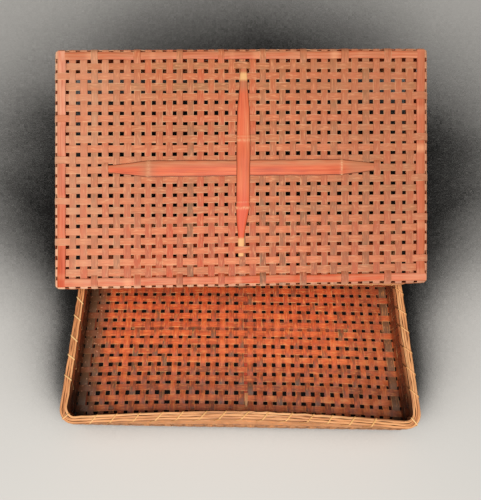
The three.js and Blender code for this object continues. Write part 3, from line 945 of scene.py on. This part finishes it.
def strip_material(name, back, front, other, dark, dust_and_shade_tone, straw, glint, dirt_and_shade, patchy, roughness):
    """Split bamboo: a tone for each strip, blotches, painted glints, grain, straw edges, soiling and a painted
    shade in the crossings, and a painted shade along the edges.
    """
    n = Nodes(name)
    grain, streak = n.noise(70, 2600, 2), n.noise(14, 700, 2)
    blotch, cloud = n.noise(55, 80, 3), n.noise(9, 14, 2)
    tone = n.varied("tone", (blotch, patchy), (cloud, 1.1))
    colour = n.mix("front", n.colours(tone, back), n.colours(tone, front))
    colour = n.mix("turned", colour, n.colours(tone, other))
    colour = n.lined(colour, 0.5, streak, 0.35, 0.55, STRIP_GRAIN)
    colour = n.lined(colour, 0.5, grain, 0.36, 0.54, STRIP_GRAIN)
    # Painted glints along the strips.
    colour = n.over(colour, glint, n.step(n.noise(75, 340, 2), 0.54, 0.68), 0.55)
    colour = n.over(colour, DUSTY, "fade", n.step(cloud, 0.35, 0.65, 0.9, 0.3), 0.7)
    edges = n.step("side", 0.8, 0.92)
    bare = n.step(n.noise(30, 40, 2), 0.5, 0.6)
    # Dark lines along the strips' edges: a painted shade between the strips.
    colour = n.over(colour, dark, edges, n.math("SUBTRACT", 1.0, bare), 0.2 + 0.2 * dirt_and_shade)
    colour = n.over(colour, straw, edges, bare, 0.65)
    # Darker where a strip dives under the next: soiling and a painted shade in the crossings.
    crossing = n.step("crest", 0.1, 0.5, 1, 0)
    colour = n.over(colour, dark, crossing, n.step(blotch, 0.35, 0.65, 0.7, 0.35), dirt_and_shade)
    shown = n.math("SUBTRACT", 1.0, "turned")
    # Dusty marks, and on the tray's walls a painted shade.
    dust_and_shade_share = n.product("mark", n.step(cloud, 0.3, 0.6, 0.75))
    colour = n.over(colour, dust_and_shade_tone, dust_and_shade_share, shown)
    colour = n.over(colour, DUSTY, dust_and_shade_share, n.step(n.noise(160, 210, 2), 0.62, 0.68, 0, 0.7), shown)
    # A painted shade in the tray's front corners.
    colour = n.over(colour, CORNER_SHADE, "soot", n.step(blotch, 0.4, 0.62, 1, 0.6), shown)
    # Pale wear and a painted highlight along the lid's folds.
    colour = n.over(colour, CREASE_WEAR_AND_HIGHLIGHT, "crease", n.step(blotch, 0.35, 0.55, 0.5, 0.9), shown)
    relief = n.math("ADD", grain, streak)
    return n.finish(colour, n.varied(roughness, (blotch, 0.3)), 0.35, relief, 0.12 * MM, 0.8)


def slat_material(name, stops, worn, dark, ring, straw, roughness):
    """Bamboo with its skin on: fine straight grain, satin, worn places, pale nodes, bare tips and a painted
    shade along its edges.
    """
    n = Nodes(name)
    grain, streak, wear = n.noise(16, 800, 2), n.noise(6, 300, 2), n.noise(18, 110, 4)
    colour = n.colours(n.varied("tone", (streak, 1.1), (wear, 0.8), (n.noise(11, 20, 2), 1.1)), stops)
    worn_here = n.product("side", n.step(wear, 0.3, 0.65, 0.35))
    worn_here.node.use_clamp = True
    colour = n.over(colour, worn, worn_here, 0.85)
    colour = n.over(colour, DULLED, "soot", n.step(wear, 0.3, 0.65, 0.6), 0.85)
    colour = n.lined(colour, 0.55, grain, 0.34, 0.55, SLAT_GRAIN)
    colour = n.over(colour, REDDENED, "fade", 0.6)
    # A painted shade along the slat's edges.
    colour = n.over(colour, dark, n.step("crest", 0.82, 0.93, 0, 0.85))
    colour = n.over(colour, ring, "mark", n.step(n.noise(150, 500, 3), 0.4, 0.62, 0.2), 0.8)
    colour = n.over(colour, straw, "bare", n.step(streak, 0.3, 0.7, 0.7))
    relief = n.math("ADD", grain, n.product(wear, 0.5))
    return n.finish(colour, n.varied(roughness, (wear, 0.3)), 0.25, relief, 0.09 * MM, 0.7)


def rim_material(name, stops, cracks, depth, groove_shade, roughness):
    """Rim bamboo: pale split faces, fibrous, with dark cracks along the grain and a painted shade in the gaps
    between strands.
    """
    n = Nodes(name)
    grain, crack, blotch = n.noise(16, 900, 3), n.noise(8, 420, 2), n.noise(24, 260, 4)
    colour = n.colours(n.varied("tone", (blotch, 1.1), (crack, 0.7)), stops)
    colour = n.lined(colour, depth, grain, 0.36, 0.5, cracks)
    colour = n.lined(colour, depth, crack, 0.32, 0.4, cracks)
    # A painted shade along each strand's sides, in the gaps between strands.
    edge = n.step("side", 0.66, 0.88)
    colour = n.over(colour, PAINTED_GROOVE_SHADE, edge, n.step(n.noise(12, 12, 2), 0.4, 0.55, 0.45), groove_shade)
    colour = n.over(colour, GRIMY, "mark", 0.85)
    # A painted shade at the inner band's front corners.
    colour = n.over(colour, CORNER_SHADE, "soot")
    return n.finish(colour, roughness, 0.5, n.math("ADD", grain, crack), 0.3 * MM, 0.8)


def floor_material():
    """Pale where the camera sees it, with a deep shade painted where the basket covers it."""
    n = Nodes("pale_floor")
    where = n.make("ShaderNodeTexCoord").outputs["Object"]
    place = n.make("ShaderNodeSeparateXYZ", {"Vector": where}).outputs
    corner = n.product(place["X"], n.math("MAXIMUM", place["Y"], 0.0))
    lean = {"X": n.product(corner, -SHADE_TURN), "Y": SHADE_LEAN[0], "Z": SHADE_LEAN[1]}
    lean = n.make("ShaderNodeCombineXYZ", lean).outputs["Vector"]
    lean = n.make("ShaderNodeVectorMath", {0: lean}, operation="NORMALIZE").outputs["Vector"]
    cover = n.make("ShaderNodeAmbientOcclusion", {"Distance": SHADE_REACH, "Normal": lean}, samples=16)
    # A painted shade: occlusion leaned toward the basket darkens the floor's colour.
    shade = n.step(cover.outputs["AO"], 0.8, 0.97, 0.012)
    seen = n.make("ShaderNodeLightPath").outputs["Is Camera Ray"]
    colour = n.mix(seen, linear(110, 108, 104), linear(216, 214, 210))
    n.fill(n.shader, {"Base Color": n.mix(1.0, colour, shade, "MULTIPLY"), "Roughness": 0.9,
                      "Specular IOR Level": 0.1})
    return n.material


FADED = ((0, 196, 136, 94), (0.5, 222, 156, 108), (1, 234, 168, 120))
LACQUERED = ((0, 172, 92, 56), (0.5, 212, 98, 50), (1, 232, 116, 60))
LID_WARPS = strip_material(
    "lid_warp_bamboo", dirt_and_shade=0.2, patchy=1.1, roughness=0.6,
    back=((0, 178, 120, 78), (0.3, 198, 122, 80), (0.65, 207, 119, 75), (1, 214, 110, 68)),
    front=((0, 146, 98, 68), (0.3, 180, 102, 68), (0.65, 202, 98, 64), (1, 216, 94, 58)),
    other=LACQUERED, dark=(140, 78, 48), dust_and_shade_tone=(168, 110, 78), straw=(246, 194, 146), glint=(236, 160, 112))
LID_WEFTS = strip_material(
    "lid_weft_bamboo", dirt_and_shade=0.2, patchy=1.1, roughness=0.6,
    back=((0, 182, 122, 78), (0.3, 199, 123, 79), (0.65, 208, 119, 75), (1, 215, 112, 70)),
    front=((0, 196, 124, 84), (0.4, 224, 127, 85), (0.7, 232, 131, 88), (1, 238, 146, 103)),
    other=LACQUERED, dark=(142, 80, 50), dust_and_shade_tone=(172, 114, 82), straw=(248, 200, 154), glint=(240, 168, 120))
TRAY_WARPS = strip_material(
    "tray_warp_bamboo", dirt_and_shade=0.7, patchy=2.2, roughness=0.45,
    back=((0, 146, 98, 66), (0.22, 178, 76, 44), (0.55, 222, 78, 34), (1, 248, 98, 42)),
    front=((0, 136, 92, 64), (0.28, 182, 96, 60), (0.6, 230, 112, 60), (1, 255, 146, 82)),
    other=FADED, dark=(92, 60, 42), dust_and_shade_tone=(106, 72, 48), straw=(252, 188, 122), glint=(255, 160, 86))
TRAY_WEFTS = strip_material(
    "tray_weft_bamboo", dirt_and_shade=0.7, patchy=1.8, roughness=0.42,
    back=((0, 180, 74, 42), (0.4, 224, 78, 36), (0.8, 248, 92, 38), (1, 255, 122, 56)),
    front=((0, 172, 98, 66), (0.4, 226, 116, 66), (0.8, 250, 136, 76), (1, 255, 166, 100)),
    other=FADED, dark=(88, 56, 40), dust_and_shade_tone=(106, 70, 46), straw=(252, 190, 124), glint=(255, 160, 88))
LID_SLATS = slat_material(
    "lid_slat_skin", ((0.1, 198, 82, 46), (0.5, 226, 105, 62), (0.85, 234, 128, 82), (1, 242, 158, 108)),
    worn=(204, 138, 98), dark=(112, 50, 28), ring=(238, 180, 132), straw=(240, 186, 122), roughness=0.45)
FRAME_SLATS = slat_material(
    "frame_slat_skin", ((0, 200, 78, 42), (0.35, 218, 92, 52), (0.7, 222, 122, 82), (1, 236, 158, 118)),
    worn=(238, 172, 138), dark=(140, 70, 44), ring=(240, 190, 142), straw=(244, 172, 126), roughness=0.5)
# A darker copy of the slat skin: a painted shade for the tray's slats, which lie under its weave.
TRAY_SLATS_SHADED = slat_material(
    "tray_slat_shaded_skin", ((0, 104, 46, 28), (0.5, 132, 56, 34), (1, 160, 84, 54)),
    worn=(150, 96, 66), dark=(80, 40, 26), ring=(180, 130, 90), straw=(170, 122, 80), roughness=0.5)
RIM = rim_material(
    "rim_bamboo", ((0, 206, 130, 78), (0.4, 242, 168, 108), (0.75, 254, 192, 130), (1, 255, 214, 158)),
    cracks=[0.36, 0.2, 0.12, 1], depth=0.9, groove_shade=1.0, roughness=0.45)
BAND = rim_material(
    "band_bamboo", ((0, 190, 112, 68), (0.4, 224, 152, 98), (0.75, 240, 176, 120), (1, 248, 200, 148)),
    cracks=[0.42, 0.26, 0.18, 1], depth=0.8, groove_shade=0.0, roughness=0.5)
CANE = rim_material(
    "cane", ((0, 226, 162, 98), (0.5, 246, 192, 122), (1, 253, 214, 152)),
    cracks=[0.7, 0.58, 0.46, 1], depth=0.4, groove_shade=0.0, roughness=0.4)


# Pieces


def keep(made, name, half, material, slot, *nodes):
    """Builds a piece and puts it on its half, in place of the named nodes; its slot is not used."""
    piece = made.build(f"{half.name}_{name}", half, material)
    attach(piece, half.name)
    if nodes:
        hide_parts(*[f"{half.name}_{node}" for node in nodes])


def weave(half, layout, bound, warps, wefts):
    slot = f"{half.name}_weave"
    for family, material in (("warps", warps), ("wefts", wefts)):
        keep(strips(half, layout, family, bound), f"{family}_woven", half, material, slot, family)
    keep(hoops(half, layout), "hoops_woven", half, wefts, slot, *[f"hoop_{k + 1}" for k in range(HOOPS)])


def rim(half):
    sides = ("front", "right", "back", "left")
    bottom, top = half.band_bottom, half.band_bottom + BAND_HEIGHT
    outer = rim_piece(half, BUNDLE_OUTER, BUNDLE_OUTER + BAND_THICKNESS, bottom, top, half.seed,
                      BAND_ROUNDING, BAND_WANDER, 0.45)
    keep(outer, "outer_band", half, BAND, "rim", "rim_outer_band")
    inner = rim_piece(half, BUNDLE_INNER - BAND_THICKNESS, BUNDLE_INNER, bottom, top, half.seed + 9,
                      BAND_ROUNDING, BAND_WANDER, 0.5, corner_shaded=0.9)
    keep(inner, "inner_band", half, BAND, "rim", *[f"rim_inner_band_{side}" for side in sides])
    width = (BUNDLE_INNER - BUNDLE_OUTER + RIM_GAP) / 3
    for number in range(3):
        start = BUNDLE_OUTER + number * width
        strand = rim_piece(half, start, start + width, half.height - STRAND_HEIGHT, half.height,
                           half.seed + 20 + number * 5, STRAND_ROUNDING, STRAND_WANDER,
                           0.45 + 0.2 * (number // 2))
        keep(strand, f"strand_{number + 1}", half, RIM, "rim", f"rim_strand_{number + 1}")
    cane = lashing(half, half.seed + 40)
    keep(cane, "cane_lashing", half, CANE, "cane", *[f"lashing_{side}" for side in sides])


def slats(half, layout, form_x, form_y, frame_looks, cross_skin, frame_skin):
    pairs = (("cross_slat_x", form_x, form_y, False), ("cross_slat_y", form_y, form_x, True))
    for name, form, other, climbs in pairs:
        made = cross_slat(half, form, other, climbs, half.seed + climbs)
        keep(made, f"{name}_split", half, cross_skin, "slat", name)
    for side, look in frame_looks.items():
        if side in ("front", "back"):
            places = layout.x[3:half.columns - 1:BINDING_STEP]
        else:
            places = layout.y[2 if side == "left" else BINDING_STEP:half.rows - 1:BINDING_STEP]
        made = frame_slat(half, side, places, *look)
        keep(made, f"frame_{side}", half, frame_skin, "slat", f"frame_slat_{side}")


def slat_tip(half):
    """The front tip of the tray's middle slat comes up through the floor and lies over one strip."""
    made = Sweeps()
    run = np.linspace(0, TIP_LENGTH, 14)
    share = run / run[-1]
    width = np.interp(share, [0, 0.6, 1], [3.5 * MM, 6 * MM, 7 * MM])
    across, through = section(1, TIP_THICKNESS, 0.2 * MM)
    rise = np.sin(math.pi * share) * TIP_RISE
    x = TIP_START[0] + across * width[:, None]
    y = TIP_START[1] + run[:, None]
    z = WEAVE_LEVEL + TIP_CLEAR + rise[:, None] + through
    made.add(stacked(x, y, z), run, around(across * 9 * MM), tone=0.6, side=0.5,
             bare=(1 - 0.6 * share)[:, None])
    keep(made, "slat_tip", half, LID_SLATS, "slat")


def stage():
    mesh = bpy.data.meshes.new("floor")
    far = FLOOR_REACH
    mesh.from_pydata([(-far, -far, 0), (far, -far, 0), (far, far, 0), (-far, far, 0)], [], [(0, 1, 2, 3)])
    mesh.materials.append(floor_material())
    floor = new_object("floor", mesh)
    floor.location.z = -FLOOR_DROP


def lights():
    for name, place, power in LAMPS:
        data = bpy.data.lights.new(name, "AREA")
        data.shape = "RECTANGLE"
        data.size = data.size_y = LAMP_SIZE
        data.energy = power
        data.color = LAMP_COLOUR
        light = new_object(name, data)
        light.location = place
        light.rotation_euler = (LAMP_AIM - Vector(place)).to_track_quat("-Z", "Y").to_euler()
    world = bpy.data.worlds.new("studio")
    world.use_nodes = True
    background = world.node_tree.nodes["Background"]
    background.inputs["Color"].default_value = WORLD_COLOUR
    background.inputs["Strength"].default_value = WORLD_STRENGTH
    bpy.context.scene.world = world
    bpy.context.scene.view_settings.view_transform = "Standard"


def camera():
    data = bpy.data.cameras.new("photo_view")
    data.lens = CAMERA_LENS
    data.sensor_width = CAMERA_SENSOR
    data.sensor_fit = "AUTO"
    data.dof.use_dof = False
    eye = new_object("photo_view", data)
    eye.location = CAMERA_PLACE
    eye.rotation_euler = (math.pi / 2 - CAMERA_PITCH, 0, 0)
    bpy.context.scene.camera = eye


# Tone, wear, dullness, width, seed and ends of the slats along the folds, seen from the photograph's side.
# An end lies over the slat at the corner, or butts against it.
OVER, BUTT = 6 * MM, -6.75 * MM
LID_FRAME = {
    "back": (0.75, 0.1, 0.65, 12 * MM, 1, (BUTT, BUTT)),
    "left": (0.25, 1.3, 0.05, 12.5 * MM, 2, (OVER, OVER)),
    "right": (0.2, 0.35, 0.7, 12.5 * MM, 3, (OVER, BUTT)),
    "front": (0.55, 0.7, 0.15, 12.5 * MM, 4, (BUTT, OVER)),
}
TRAY_FRAME = {
    "back": (0.3, 0.3, 0, 10.5 * MM, 5, (BUTT, BUTT)),
    "left": (0.2, 0.3, 0, 13 * MM, 6, (OVER, OVER)),
    "right": (0.2, 0.3, 0, 13 * MM, 7, (OVER, OVER)),
    "front": (0.3, 0.3, 0, 11 * MM, 8, (BUTT, BUTT)),
}


def main():
    camera()
    lights()
    stage()
    tray_layout, lid_layout = Layout(TRAY), Layout(LID)
    weave(TRAY, tray_layout, bindings(TRAY), TRAY_WARPS, TRAY_WEFTS)
    weave(LID, lid_layout, lid_bindings(), LID_WARPS, LID_WEFTS)
    rim(TRAY)
    rim(LID)
    slats(TRAY, tray_layout, TRAY_SLAT_X, TRAY_SLAT_Y, TRAY_FRAME, TRAY_SLATS_SHADED, TRAY_SLATS_SHADED)
    slats(LID, lid_layout, LID_SLAT_X, LID_SLAT_Y, LID_FRAME, LID_SLATS, FRAME_SLATS)
    slat_tip(TRAY)


main()
